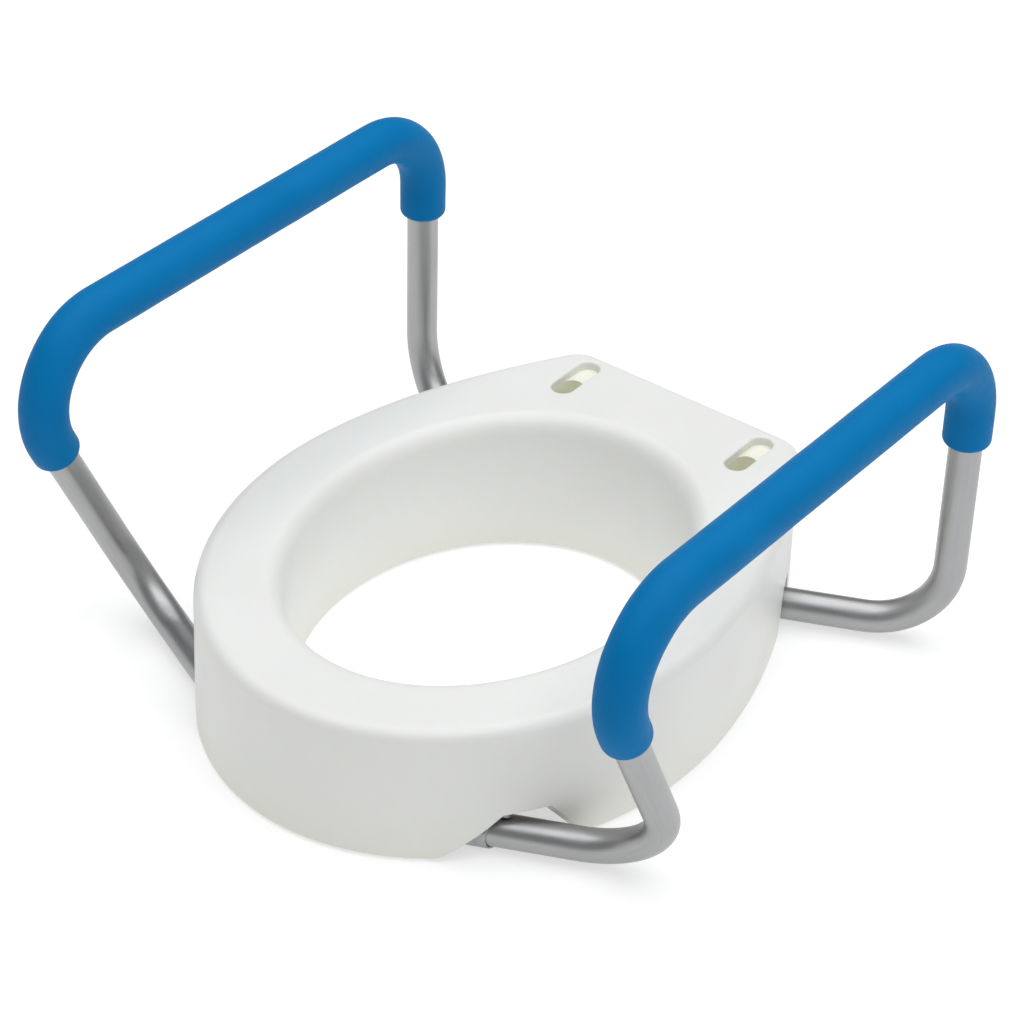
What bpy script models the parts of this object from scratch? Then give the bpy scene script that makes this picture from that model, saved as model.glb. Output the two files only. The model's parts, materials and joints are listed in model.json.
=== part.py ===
"""Raised toilet seat with two removable armrests.

A moulded white seat shell, open underneath, carries four steel sockets. Each arm is one bent aluminium
tube with a foam grip. Its two lower ends slide into the sockets, and clamp screws with hand knobs hold
them there.

Units are metres. +Z is up, -Y is the front of the seat, +X is one side. The origin is on the surface that
the feet stand on, under the middle of the object.
"""

import math

import bmesh
import bpy
from mathutils import Matrix, Vector

# Seat shell
SEAT_HALF_WIDTH = 0.173
SEAT_WIDEST_Y = -0.011
SEAT_FRONT_DEPTH = 0.212
SEAT_REAR_DEPTH = 0.234
SEAT_REAR_TAPER = 0.449
SEAT_TAPER_LENGTH = 0.230
SEAT_TAPER_POWER = 1.83
REAR_CORNER_RADIUS = 0.024
SEAT_BASE = 0.0025
SEAT_TOP = 0.100
WALL = 0.0035
WALL_DRAFT = 0.001
OUTER_EDGE_RADIUS = 0.009

# Opening through the seat: half width and half length at three heights
HOLE_Y = -0.0063
HOLE_AT_BASE = (0.1174, 0.1415)
HOLE_AT_SHOULDER = (0.1185, 0.1550)
HOLE_AT_TOP = (0.1310, 0.1690)
SHOULDER_DROP = 0.016

# Hinge-bolt slots in the rear deck
SLOT_X = 0.0734
SLOT_Y = 0.1867
SLOT_LENGTH = 0.0465
SLOT_WIDTH = 0.016
SLOT_LEDGE_DEPTH = 0.006
SLOT_WELL_DEPTH = 0.020
SLOT_WELL_WALL = 0.002
SLOT_DEEP_SHARE = 0.6
BOLT_SLOT_WIDTH = 0.009
BOLT_SLOT_SHORTER = 0.008

# Arms
TUBE_RADIUS = 0.0111
TUBE_WALL = 0.00125
ARM_HALF_SPAN = 0.226
FRONT_TOE_IN = 0.002
BEND_RADIUS = 0.054
RAIL_Z = 0.2452
LOWER_TUBE_Z = SEAT_BASE + TUBE_RADIUS
REAR_LEG_TOP_Y = 0.2029
REAR_LEG_FOOT_Y = 0.2064
FRONT_LEG_TOP_Y = -0.2153
FRONT_LEG_FOOT_Y = -0.1004
SWEEP = math.radians(24.8)
GRIP_RADIUS = 0.0162
GRIP_BORE = 0.0115
REAR_GRIP_END_Z = 0.168
FRONT_GRIP_END_Z = 0.158

# Sockets
MOUTH_X = 0.119
SOCKET_RADIUS = 0.0127
SOCKET_BORE = 0.0114
SOCKET_LENGTH = 0.063
ARM_INSERTION = 0.058
PLATE_THICKNESS = 0.0024
PLATE_SINK = 0.0005
NOTCH_HEIGHT = 0.0305
NOTCH_BASE_HALF_WIDTH = 0.0243
NOTCH_TOP_HALF_WIDTH = 0.0085

# Fasteners and small parts
CLEARANCE = 0.0003
SCREW_RADIUS = 0.0018
SCREW_HEAD_RADIUS = 0.004
SCREW_HEAD_HEIGHT = 0.0026
SCREW_LENGTH = 0.016
BOSS_RADIUS = 0.006
FOOT_RADIUS = 0.009
FOOT_STEM_RADIUS = 0.0027
FOOT_BOSS_RADIUS = 0.011
FOOT_BOSS_HEIGHT = 0.012
FOOT_INSET = 0.0125

# Clamp screws: one through the side of each socket. Reaches are from the arm tube's axis.
CLAMP_INSET = 0.032
CLAMP_SCREW_RADIUS = 0.003
CLAMP_SCREW_TIP = TUBE_RADIUS + CLEARANCE
CLAMP_SCREW_END = 0.0235
CLAMP_NUT_RADIUS = 0.0056
CLAMP_NUT_START = SOCKET_RADIUS + CLEARANCE
CLAMP_NUT_END = 0.0175
KNOB_START = 0.0190
KNOB_END = 0.0280
KNOB_RADIUS = 0.0095
KNOB_LOBES = 6
KNOB_LOBE_DEPTH = 0.0011

# Each socket: name, +1 right or -1 left, +1 front or -1 rear
SOCKETS = [
    ("front_right", 1, 1),
    ("front_left", -1, 1),
    ("rear_right", 1, -1),
    ("rear_left", -1, -1),
]
# Along the socket from its mouth, and across it towards the rear of the seat
FRONT_SCREWS = [(-0.073, 0.0), (-0.012, 0.018)]
REAR_SCREWS = [(-0.020, 0.018), (-0.020, -0.018)]
FRONT_PLATE = [
    (-0.083, -0.009), (-0.020, -0.009), (-0.020, -0.002), (0.008, -0.002),
    (0.008, 0.026), (-0.045, 0.026), (-0.045, 0.009), (-0.083, 0.009),
]
REAR_PLATE = [(-0.038, -0.026), (-0.002, -0.026), (-0.002, 0.026), (-0.038, 0.026)]

RIB_ANGLES = [-90, -32, -11, 11, 32, 90, 148, 169, 191, 212]
RIB_THICKNESS = 0.0025
RIB_BASE_Z = 0.0165


# ---------------------------------------------------------------- scene, collections and materials

def clear_scene():
    for obj in list(bpy.data.objects):
        bpy.data.objects.remove(obj, do_unlink=True)


def collection(name):
    made = bpy.data.collections.new(name)
    bpy.context.scene.collection.children.link(made)
    return made


def material(name, color, roughness, metallic=0.0):
    made = bpy.data.materials.new(name)
    made.use_nodes = True
    shader = made.node_tree.nodes["Principled BSDF"]
    shader.inputs["Base Color"].default_value = (*color, 1.0)
    shader.inputs["Roughness"].default_value = roughness
    shader.inputs["Metallic"].default_value = metallic
    return made


clear_scene()
PARTS = collection("raised_toilet_seat")
CUTTERS = collection("cutters")

WHITE_PLASTIC = material("white_plastic", (0.86, 0.87, 0.85), 0.35)
BLUE_FOAM = material("blue_foam", (0.0, 0.13, 0.40), 0.55)
ALUMINIUM = material("aluminium", (0.60, 0.61, 0.62), 0.35, 1.0)
SOCKET_STEEL = material("socket_steel", (0.42, 0.42, 0.43), 0.40, 1.0)
SCREW_STEEL = material("screw_steel", (0.55, 0.55, 0.56), 0.30, 1.0)
GREY_PLASTIC = material("grey_plastic", (0.12, 0.12, 0.13), 0.50)
GREY_RUBBER = material("grey_rubber", (0.10, 0.10, 0.10), 0.80)


def link_part(name, mesh, finish):
    obj = bpy.data.objects.new(name, mesh)
    PARTS.objects.link(obj)
    mesh.materials.clear()
    mesh.materials.append(finish)
    mesh.shade_smooth()
    mesh.set_sharp_from_angle(angle=math.radians(35))
    return obj


def link_cutter(name, mesh):
    obj = bpy.data.objects.new(name, mesh)
    CUTTERS.objects.link(obj)
    obj.hide_render = True
    obj.display_type = "WIRE"
    return obj


def boolean(obj, tool, operation):
    step = obj.modifiers.new(f"{operation.lower()} {tool.name}", "BOOLEAN")
    step.operation = operation
    step.solver = "EXACT"
    step.object = tool


def hollow(obj, wall):
    thick = obj.modifiers.new("wall", "SOLIDIFY")
    thick.thickness = wall
    thick.offset = -1
    thick.use_even_offset = True


def unite(obj, name, mesh):
    boolean(obj, link_cutter(name, mesh), "UNION")


def cut(obj, name, mesh):
    boolean(obj, link_cutter(name, mesh), "DIFFERENCE")


# ---------------------------------------------------------------- mesh helpers

def curve_mesh(curve, name, weld=0.000001):
    """The surface of a curve as a mesh, with its loose caps welded on."""
    holder = bpy.data.objects.new(name, curve)
    CUTTERS.objects.link(holder)
    depsgraph = bpy.context.evaluated_depsgraph_get()
    mesh = bpy.data.meshes.new_from_object(holder.evaluated_get(depsgraph))
    mesh.name = name
    bpy.data.objects.remove(holder)
    work = bmesh.new()
    work.from_mesh(mesh)
    bmesh.ops.remove_doubles(work, verts=work.verts, dist=weld)
    bmesh.ops.recalc_face_normals(work, faces=work.faces)
    work.to_mesh(mesh)
    work.free()
    return mesh


def prism_mesh(name, outline, height):
    """A flat outline extruded along Z, centred on Z = 0."""
    curve = bpy.data.curves.new(name, "CURVE")
    curve.dimensions = "2D"
    curve.fill_mode = "BOTH"
    curve.extrude = height / 2
    spline = curve.splines.new("POLY")
    spline.points.add(len(outline) - 1)
    for point, (x, y) in zip(spline.points, outline):
        point.co = (x, y, 0, 1)
    spline.use_cyclic_u = True
    return curve_mesh(curve, name)


def tube_mesh(name, path, radius, side_resolution):
    """An open round skin along a path."""
    curve = bpy.data.curves.new(name, "CURVE")
    curve.dimensions = "3D"
    curve.bevel_depth = radius
    curve.bevel_resolution = side_resolution
    spline = curve.splines.new("POLY")
    spline.points.add(len(path) - 1)
    for point, place in zip(spline.points, path):
        point.co = (*place, 1)
    return curve_mesh(curve, name)


def cylinders_mesh(name, axes, radius, sides):
    """Separate solid cylinders, one from each pair of end points."""
    work = bmesh.new()
    for low, high in axes:
        axis = high - low
        turn = Vector((0, 0, 1)).rotation_difference(axis).to_matrix().to_4x4()
        place = Matrix.Translation((low + high) / 2) @ turn
        bmesh.ops.create_cone(
            work, cap_ends=True, segments=sides, radius1=radius, radius2=radius,
            depth=axis.length, matrix=place,
        )
    mesh = bpy.data.meshes.new(name)
    work.to_mesh(mesh)
    work.free()
    return mesh


def turned_part(name, profile, sides, finish, place):
    """A solid of revolution about local Z, from (radius, height) points that run top to bottom."""
    mesh = bpy.data.meshes.new(name)
    points = [(radius, 0, height) for radius, height in profile]
    mesh.from_pydata(points, [(i, i + 1) for i in range(len(points) - 1)], [])
    obj = link_part(name, mesh, finish)
    obj.matrix_world = place
    screw = obj.modifiers.new("turn", "SCREW")
    screw.axis = "Z"
    screw.steps = screw.render_steps = sides
    screw.use_merge_vertices = True
    screw.merge_threshold = 0.00001
    return obj


def stadium(length, width, arc_steps=5):
    """A slot outline along Y with round ends."""
    radius = width / 2
    reach = length / 2 - radius
    points = []
    for start, centre in ((0, reach), (180, -reach)):
        for step in range(arc_steps + 1):
            angle = math.radians(start + 180 * step / arc_steps)
            points.append((radius * math.cos(angle), centre + radius * math.sin(angle)))
    return points


def fillet_path(corners, radius, steps):
    """The corner points joined by straight runs, with each inner corner turned into an arc."""
    path = [corners[0]]
    for before, corner, after in zip(corners, corners[1:], corners[2:]):
        towards = (before - corner).normalized()
        away = (after - corner).normalized()
        half_angle = towards.angle(away) / 2
        setback = radius / math.tan(half_angle)
        centre = corner + (towards + away).normalized() * radius / math.sin(half_angle)
        start = (corner + towards * setback - centre).normalized()
        end = (corner + away * setback - centre).normalized()
        for step in range(steps + 1):
            path.append(centre + radius * start.slerp(end, step / steps))
    path.append(corners[-1])
    return path


# ---------------------------------------------------------------- seat shell

def side_x(y):
    """Half width of the seat behind its widest line."""
    run = (y - SEAT_WIDEST_Y) / SEAT_TAPER_LENGTH
    return SEAT_HALF_WIDTH * (1 - SEAT_REAR_TAPER * run ** SEAT_TAPER_POWER)


def half_outline():
    """The right half of the seat's outline, from the front middle to the rear middle."""
    front_steps, side_steps, corner_steps, edge_steps = 11, 8, 5, 4
    rear = SEAT_WIDEST_Y + SEAT_REAR_DEPTH
    slope = math.atan(
        SEAT_HALF_WIDTH * SEAT_REAR_TAPER * SEAT_TAPER_POWER / SEAT_TAPER_LENGTH
    )
    side_end = rear - REAR_CORNER_RADIUS * (1 - math.sin(slope))
    corner_x = side_x(side_end) - REAR_CORNER_RADIUS * math.cos(slope)
    points = []
    for step in range(front_steps):
        angle = math.pi / 2 * step / front_steps
        points.append((
            SEAT_HALF_WIDTH * math.sin(angle),
            SEAT_WIDEST_Y - SEAT_FRONT_DEPTH * math.cos(angle),
        ))
    for step in range(side_steps):
        y = SEAT_WIDEST_Y + (side_end - SEAT_WIDEST_Y) * step / side_steps
        points.append((side_x(y), y))
    for step in range(corner_steps + 1):
        angle = slope + (math.pi / 2 - slope) * step / corner_steps
        points.append((
            corner_x + REAR_CORNER_RADIUS * math.cos(angle),
            rear - REAR_CORNER_RADIUS * (1 - math.sin(angle)),
        ))
    for step in range(1, edge_steps + 1):
        points.append((corner_x * (1 - step / edge_steps), rear))
    return points


def seat_outline():
    """The whole outline, anticlockwise from the front middle, without the repeated middle points."""
    right = half_outline()
    left = [(-x, y) for x, y in reversed(right[1:-1])]
    return [Vector(point) for point in right + left]


def inward_normals(outline):
    normals = []
    for index, point in enumerate(outline):
        before = outline[index - 1]
        after = outline[(index + 1) % len(outline)]
        along = ((point - before).normalized() + (after - point).normalized()).normalized()
        normals.append(Vector((-along.y, along.x)))
    return normals


def on_ellipse(half_sizes, towards):
    """The point of an ellipse round the opening's centre that lies in the direction of a point."""
    centre = Vector((0, HOLE_Y))
    ray = towards - centre
    stretch = math.hypot(ray.x / half_sizes[0], ray.y / half_sizes[1])
    return centre + ray / stretch


def section(point, normal, inset, base_z):
    """One section of the seat's skin, from the outer base over the top to the inner base."""
    edge_steps, shoulder_steps = 3, 4
    top_z = SEAT_TOP - inset
    edge = OUTER_EDGE_RADIUS - inset
    line = [(point + normal * inset, base_z)]
    for step in range(edge_steps + 1):
        angle = math.pi / 2 * step / edge_steps
        depth = inset + WALL_DRAFT + edge * (1 - math.cos(angle))
        line.append((point + normal * depth, top_z - edge * (1 - math.sin(angle))))
    for step in range(shoulder_steps + 1):
        angle = math.pi / 2 * step / shoulder_steps
        half_sizes = [
            low + inset + (high - low) * (1 - math.sin(angle))
            for low, high in zip(HOLE_AT_SHOULDER, HOLE_AT_TOP)
        ]
        z = top_z - (SHOULDER_DROP - inset) * (1 - math.cos(angle))
        line.append((on_ellipse(half_sizes, point), z))
    foot = [size + inset for size in HOLE_AT_BASE]
    line.append((on_ellipse(foot, point), base_z))
    return [(flat.x, flat.y, z) for flat, z in line]


def seat_skin(name, inset, base_z, closed):
    """The seat's skin lofted round the outline. A closed one is a solid ring."""
    outline = seat_outline()
    normals = inward_normals(outline)
    sections = [section(p, n, inset, base_z) for p, n in zip(outline, normals)]
    count = len(sections[0])
    vertices = [point for line in sections for point in line]
    faces = []
    for column in range(len(sections)):
        here = column * count
        there = (column + 1) % len(sections) * count
        for row in range(count if closed else count - 1):
            up = (row + 1) % count
            faces.append((here + row, there + row, there + up, here + up))
    mesh = bpy.data.meshes.new(name)
    mesh.from_pydata(vertices, [], faces)
    return mesh


def ribs_tool():
    """Upright webs between the inner and outer walls. They end inside the walls' thickness."""
    work = bmesh.new()
    near, far = 0.095, 0.260
    height = SEAT_TOP - RIB_BASE_Z
    for angle in RIB_ANGLES:
        place = (
            Matrix.Translation((0, HOLE_Y, RIB_BASE_Z + height / 2))
            @ Matrix.Rotation(math.radians(angle), 4, "Z")
            @ Matrix.Translation(((near + far) / 2, 0, 0))
            @ Matrix.Diagonal((far - near, RIB_THICKNESS, height, 1))
        )
        bmesh.ops.create_cube(work, size=1, matrix=place)
    mesh = bpy.data.meshes.new("rib_webs")
    work.to_mesh(mesh)
    work.free()
    webs = link_cutter("rib_webs", mesh)
    core = link_cutter("rib_limit", seat_skin("rib_limit", WALL / 2, SEAT_BASE + 0.001, True))
    boolean(webs, core, "INTERSECT")
    return webs


def slot_tools():
    """The wells that hang under the deck, and the three cuts that make each stepped bolt slot."""
    wells = prism_mesh(
        "slot_well",
        stadium(SLOT_LENGTH + 2 * SLOT_WELL_WALL, SLOT_WIDTH + 2 * SLOT_WELL_WALL),
        SLOT_WELL_DEPTH + SLOT_WELL_WALL,
    )
    pocket = prism_mesh("slot_pocket", stadium(SLOT_LENGTH, SLOT_WIDTH), 2 * SLOT_LEDGE_DEPTH)
    deep_length = SLOT_DEEP_SHARE * SLOT_LENGTH
    deep = prism_mesh("slot_deep_end", stadium(deep_length, SLOT_WIDTH), 2 * SLOT_WELL_DEPTH)
    through = prism_mesh(
        "bolt_slot", stadium(deep_length - BOLT_SLOT_SHORTER, BOLT_SLOT_WIDTH), 4 * SLOT_WELL_DEPTH
    )
    unions, cuts = [], []
    inside_deck = 0.001
    well_z = SEAT_TOP - inside_deck - (SLOT_WELL_DEPTH + SLOT_WELL_WALL) / 2
    for side in (1, -1):
        unions.append(link_cutter(f"slot_well_{side}", wells.copy()))
        unions[-1].location = (side * SLOT_X, SLOT_Y, well_z)
        deep_y = SLOT_Y - (SLOT_LENGTH - deep_length) / 2
        steps = (("pocket", pocket, SLOT_Y), ("deep", deep, deep_y), ("bolt", through, deep_y))
        for label, mesh, y in steps:
            cuts.append(link_cutter(f"slot_{label}_{side}", mesh.copy()))
            cuts[-1].location = (side * SLOT_X, y, SEAT_TOP)
    return unions, cuts


# ---------------------------------------------------------------- socket positions

class Socket:
    """Where one socket lies: its mouth, its axis outwards, and the level direction across it."""

    def __init__(self, name, side, end):
        self.name = name
        self.side = side
        self.end = end
        corner_x, corner_y = (
            (ARM_HALF_SPAN - FRONT_TOE_IN, FRONT_LEG_FOOT_Y) if end > 0
            else (ARM_HALF_SPAN, REAR_LEG_FOOT_Y)
        )
        mouth_y = corner_y - (corner_x - MOUTH_X) * math.tan(SWEEP)
        self.mouth = Vector((side * MOUTH_X, mouth_y, LOWER_TUBE_Z))
        self.along = Vector((side * math.cos(SWEEP), math.sin(SWEEP), 0))
        self.across = Vector((-side * math.sin(SWEEP), math.cos(SWEEP), 0))
        self.screws = FRONT_SCREWS if end > 0 else REAR_SCREWS
        self.plate = FRONT_PLATE if end > 0 else REAR_PLATE

    def point(self, along, across=0.0, z=None):
        place = self.mouth + self.along * along + self.across * across
        if z is not None:
            place.z = z
        return place

    def frame(self, along=0.0, z=None):
        """A right-handed frame: X along the socket, Z up."""
        left = Vector((0, 0, 1)).cross(self.along)
        turn = Matrix((self.along, left, (0, 0, 1))).transposed().to_4x4()
        return Matrix.Translation(self.point(along, 0, z)) @ turn

    def outline(self, points):
        """An outline given as (along, across) in the frame's own X and Y."""
        return [(along, self.side * across) for along, across in points]

    @property
    def clamp_direction(self):
        """The clamp screw comes in from the side that faces the opening in the seat."""
        return self.across * self.end

    def clamp_frame(self):
        """Local Z is the clamp screw's axis, outwards from the arm tube's axis."""
        turn = self.clamp_direction.to_track_quat("Z", "Y").to_matrix().to_4x4()
        return Matrix.Translation(self.point(-CLAMP_INSET)) @ turn

    def clamp_run(self, start, end):
        """Two points on the clamp screw's axis."""
        centre = self.point(-CLAMP_INSET)
        return centre + self.clamp_direction * start, centre + self.clamp_direction * end


# ---------------------------------------------------------------- fixed parts

PLATE_BOTTOM = LOWER_TUBE_Z + SOCKET_RADIUS - PLATE_SINK
PLATE_TOP = PLATE_BOTTOM + PLATE_THICKNESS


def make_seat_shell(sockets, feet):
    shell = link_part(
        "seat_shell", seat_skin("seat_shell", 0.0, SEAT_BASE, False), WHITE_PLASTIC
    )
    hollow(shell, WALL)
    boolean(shell, ribs_tool(), "UNION")

    boss_top = SEAT_TOP - WALL / 2
    bosses = [
        (s.point(a, b, PLATE_TOP + CLEARANCE), s.point(a, b, boss_top))
        for s in sockets for a, b in s.screws
    ]
    unite(shell, "screw_bosses", cylinders_mesh("screw_bosses", bosses, BOSS_RADIUS, 12))
    pad_top = SEAT_BASE + FOOT_BOSS_HEIGHT
    pads = [(Vector((x, y, SEAT_BASE)), Vector((x, y, pad_top))) for x, y in feet]
    unite(shell, "foot_pads", cylinders_mesh("foot_pads", pads, FOOT_BOSS_RADIUS, 16))

    wells, slots = slot_tools()
    for well in wells:
        boolean(shell, well, "UNION")
    for slot in slots:
        boolean(shell, slot, "DIFFERENCE")

    past_end = 0.002
    pilots = [
        (s.point(a, b, PLATE_TOP - past_end), s.point(a, b, PLATE_TOP + SCREW_LENGTH + past_end))
        for s in sockets for a, b in s.screws
    ]
    cut(shell, "pilot_holes", cylinders_mesh("pilot_holes", pilots, SCREW_RADIUS + CLEARANCE, 10))
    stems = [(Vector((x, y, 0)), Vector((x, y, pad_top - past_end))) for x, y in feet]
    cut(shell, "foot_holes", cylinders_mesh("foot_holes", stems, FOOT_STEM_RADIUS + CLEARANCE, 10))

    for socket in sockets:
        boolean(shell, notch_tool(socket), "DIFFERENCE")
    return shell


def notch_tool(socket):
    """The slope-sided gap in the seat's wall that the arm's tube leaves through.

    Its ends are measured along the socket from its mouth. The inner end lies inside the outer wall, so that
    the slopes run down to the seat's base on both sides.
    """
    inner, outer = -0.040, 0.060
    low = -0.002
    widen = (NOTCH_BASE_HALF_WIDTH - NOTCH_TOP_HALF_WIDTH) / NOTCH_HEIGHT
    base = NOTCH_BASE_HALF_WIDTH - widen * low
    outline = [
        (-base, low), (base, low),
        (NOTCH_TOP_HALF_WIDTH, NOTCH_HEIGHT), (-NOTCH_TOP_HALF_WIDTH, NOTCH_HEIGHT),
    ]
    tool = link_cutter(f"{socket.name}_notch", prism_mesh("notch", outline, outer - inner))
    stand_up = Matrix(((0, 0, 1), (1, 0, 0), (0, 1, 0))).to_4x4()
    tool.matrix_world = socket.frame((inner + outer) / 2, SEAT_BASE) @ stand_up
    return tool


def make_socket(socket):
    """A short steel tube with a mounting plate welded along its top."""
    past_mouth = 0.012
    ends = [(socket.point(-SOCKET_LENGTH), socket.point(past_mouth))]
    sleeve = cylinders_mesh(f"{socket.name}_socket", ends, SOCKET_RADIUS, 20)
    obj = link_part(f"{socket.name}_socket", sleeve, SOCKET_STEEL)

    block = 0.05
    mouth = link_cutter(f"{socket.name}_mouth_cut", cube_mesh("mouth_cut", block))
    mouth.location = socket.mouth + Vector((socket.side * block / 2, 0, 0))
    boolean(obj, mouth, "DIFFERENCE")

    plate = link_cutter(
        f"{socket.name}_plate",
        prism_mesh("plate", socket.outline(socket.plate), PLATE_THICKNESS),
    )
    plate.matrix_world = socket.frame(0.0, (PLATE_BOTTOM + PLATE_TOP) / 2)
    boolean(obj, plate, "UNION")

    past_end = 0.005
    bore = [(socket.point(-SOCKET_LENGTH - past_end), socket.point(past_mouth + past_end))]
    cut(obj, f"{socket.name}_bore", cylinders_mesh("bore", bore, SOCKET_BORE, 20))

    past_face = 0.002
    for number, (a, b) in enumerate(socket.screws, start=1):
        ends = [(socket.point(a, b, PLATE_BOTTOM - past_face), socket.point(a, b, PLATE_TOP + past_face))]
        hole = cylinders_mesh("screw_hole", ends, SCREW_RADIUS + CLEARANCE, 12)
        cut(obj, f"{socket.name}_screw_hole_{number}", hole)
    hole = cylinders_mesh(
        "clamp_hole", [socket.clamp_run(0, SOCKET_RADIUS + past_face)], CLAMP_SCREW_RADIUS + CLEARANCE, 12
    )
    cut(obj, f"{socket.name}_clamp_hole", hole)
    return obj


def cube_mesh(name, size):
    work = bmesh.new()
    bmesh.ops.create_cube(work, size=size)
    mesh = bpy.data.meshes.new(name)
    work.to_mesh(mesh)
    work.free()
    return mesh


def make_screw(name, place):
    """A pan-head screw that points up. Its origin is under its head's seat."""
    head, shank = SCREW_HEAD_RADIUS, SCREW_RADIUS
    profile = [
        (0, SCREW_LENGTH), (0.4 * shank, SCREW_LENGTH), (shank, SCREW_LENGTH - 0.003), (shank, 0),
        (head, 0), (head, -0.6 * SCREW_HEAD_HEIGHT), (0.6 * head, -SCREW_HEAD_HEIGHT),
        (0, -SCREW_HEAD_HEIGHT),
    ]
    return turned_part(name, profile, 12, SCREW_STEEL, Matrix.Translation(place))


def make_foot(name, x, y):
    """A rubber foot: a disc under the seat's pad, with a stem pressed into it."""
    top = SEAT_BASE - CLEARANCE
    stem_top = SEAT_BASE + FOOT_BOSS_HEIGHT - 0.004
    profile = [
        (0, stem_top), (FOOT_STEM_RADIUS, stem_top - 0.001), (FOOT_STEM_RADIUS, top),
        (FOOT_RADIUS, top), (FOOT_RADIUS, 0.0005), (FOOT_RADIUS - 0.0005, 0), (0, 0),
    ]
    return turned_part(name, profile, 16, GREY_RUBBER, Matrix.Translation((x, y, 0)))


def foot_places():
    """Pads that touch the outer wall from inside: two at the front and two at the sides."""
    outline = seat_outline()
    normals = inward_normals(outline)
    places = []
    for x_wanted, y_wanted in ((0.050, -0.2), (0.150, 0.095)):
        nearest = min(
            range(len(outline)),
            key=lambda i: (outline[i] - Vector((x_wanted, y_wanted))).length,
        )
        centre = outline[nearest] + normals[nearest] * FOOT_INSET
        places += [(centre.x, centre.y), (-centre.x, centre.y)]
    return places


# ---------------------------------------------------------------- arms

def arm_corners(side):
    """The corners of the arm tube's centre line between its two lower ends, rear to front."""
    return [
        Vector((side * ARM_HALF_SPAN, REAR_LEG_FOOT_Y, LOWER_TUBE_Z)),
        Vector((side * ARM_HALF_SPAN, REAR_LEG_TOP_Y, RAIL_Z)),
        Vector((side * ARM_HALF_SPAN, FRONT_LEG_TOP_Y, RAIL_Z)),
        Vector((side * (ARM_HALF_SPAN - FRONT_TOE_IN), FRONT_LEG_FOOT_Y, LOWER_TUBE_Z)),
    ]


def at_height(foot, top, z):
    return foot.lerp(top, (z - foot.z) / (top.z - foot.z))


def make_arm(label, side, sockets):
    rear = next(s for s in sockets if s.side == side and s.end < 0)
    front = next(s for s in sockets if s.side == side and s.end > 0)
    corners = arm_corners(side)
    bend_steps = 5

    ends = [rear.point(-ARM_INSERTION), *corners, front.point(-ARM_INSERTION)]
    path = fillet_path(ends, BEND_RADIUS, bend_steps)
    tube = link_part(f"{label}_arm_tube", tube_mesh("arm_tube", path, TUBE_RADIUS, 5), ALUMINIUM)
    hollow(tube, TUBE_WALL)

    rear_end = at_height(corners[0], corners[1], REAR_GRIP_END_Z)
    front_end = at_height(corners[3], corners[2], FRONT_GRIP_END_Z)
    grip_path = fillet_path([rear_end, corners[1], corners[2], front_end], BEND_RADIUS, bend_steps)
    grip = link_part(f"{label}_grip", tube_mesh("grip", grip_path, GRIP_RADIUS, 6), BLUE_FOAM)
    hollow(grip, GRIP_RADIUS - GRIP_BORE)


def make_end_plug(socket):
    """A cap pressed into the arm's inner end."""
    core = TUBE_RADIUS - TUBE_WALL - 2 * CLEARANCE
    flange = TUBE_RADIUS - CLEARANCE
    profile = [
        (0, 0.008), (core - 0.001, 0.008), (core, 0.007), (core, -CLEARANCE),
        (flange, -CLEARANCE), (flange, -0.0022), (flange - 0.0008, -0.003), (0, -0.003),
    ]
    outward = socket.along.to_track_quat("Z", "Y").to_matrix().to_4x4()
    place = Matrix.Translation(socket.point(-ARM_INSERTION)) @ outward
    return turned_part(f"{socket.name}_end_plug", profile, 14, GREY_PLASTIC, place)


# ---------------------------------------------------------------- clamp screws

def make_clamp_nut(socket):
    """A hexagon nut welded on the socket's side."""
    nut = cylinders_mesh(
        f"{socket.name}_clamp_nut", [socket.clamp_run(CLAMP_NUT_START, CLAMP_NUT_END)], CLAMP_NUT_RADIUS, 6
    )
    obj = link_part(f"{socket.name}_clamp_nut", nut, SCREW_STEEL)
    thread = cylinders_mesh(
        "nut_thread", [socket.clamp_run(TUBE_RADIUS, KNOB_START)], CLAMP_SCREW_RADIUS + CLEARANCE, 14
    )
    cut(obj, f"{socket.name}_nut_thread", thread)
    return obj


def make_clamp_screw(socket):
    """The screw whose round tip bears on the arm's tube."""
    radius, tip, end = CLAMP_SCREW_RADIUS, CLAMP_SCREW_TIP, CLAMP_SCREW_END
    profile = [
        (0, end), (radius, end), (radius, tip + 0.0015), (0.75 * radius, tip + 0.0004),
        (0.4 * radius, tip), (0, tip),
    ]
    return turned_part(f"{socket.name}_clamp_screw", profile, 14, SCREW_STEEL, socket.clamp_frame())


def make_clamp_knob(socket):
    """The lobed hand knob moulded on the clamp screw's outer end."""
    steps = 6 * KNOB_LOBES
    outline = []
    for step in range(steps):
        angle = 2 * math.pi * step / steps
        radius = KNOB_RADIUS + KNOB_LOBE_DEPTH * math.cos(KNOB_LOBES * angle)
        outline.append((radius * math.cos(angle), radius * math.sin(angle)))
    obj = link_part(
        f"{socket.name}_clamp_knob", prism_mesh("clamp_knob", outline, KNOB_END - KNOB_START), GREY_PLASTIC
    )
    obj.matrix_world = socket.clamp_frame() @ Matrix.Translation((0, 0, (KNOB_START + KNOB_END) / 2))
    hole = cylinders_mesh(
        "knob_hole", [socket.clamp_run(CLAMP_NUT_END, CLAMP_SCREW_END + CLEARANCE)],
        CLAMP_SCREW_RADIUS + CLEARANCE, 14,
    )
    cut(obj, f"{socket.name}_knob_hole", hole)
    return obj


# ---------------------------------------------------------------- assembly

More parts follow.
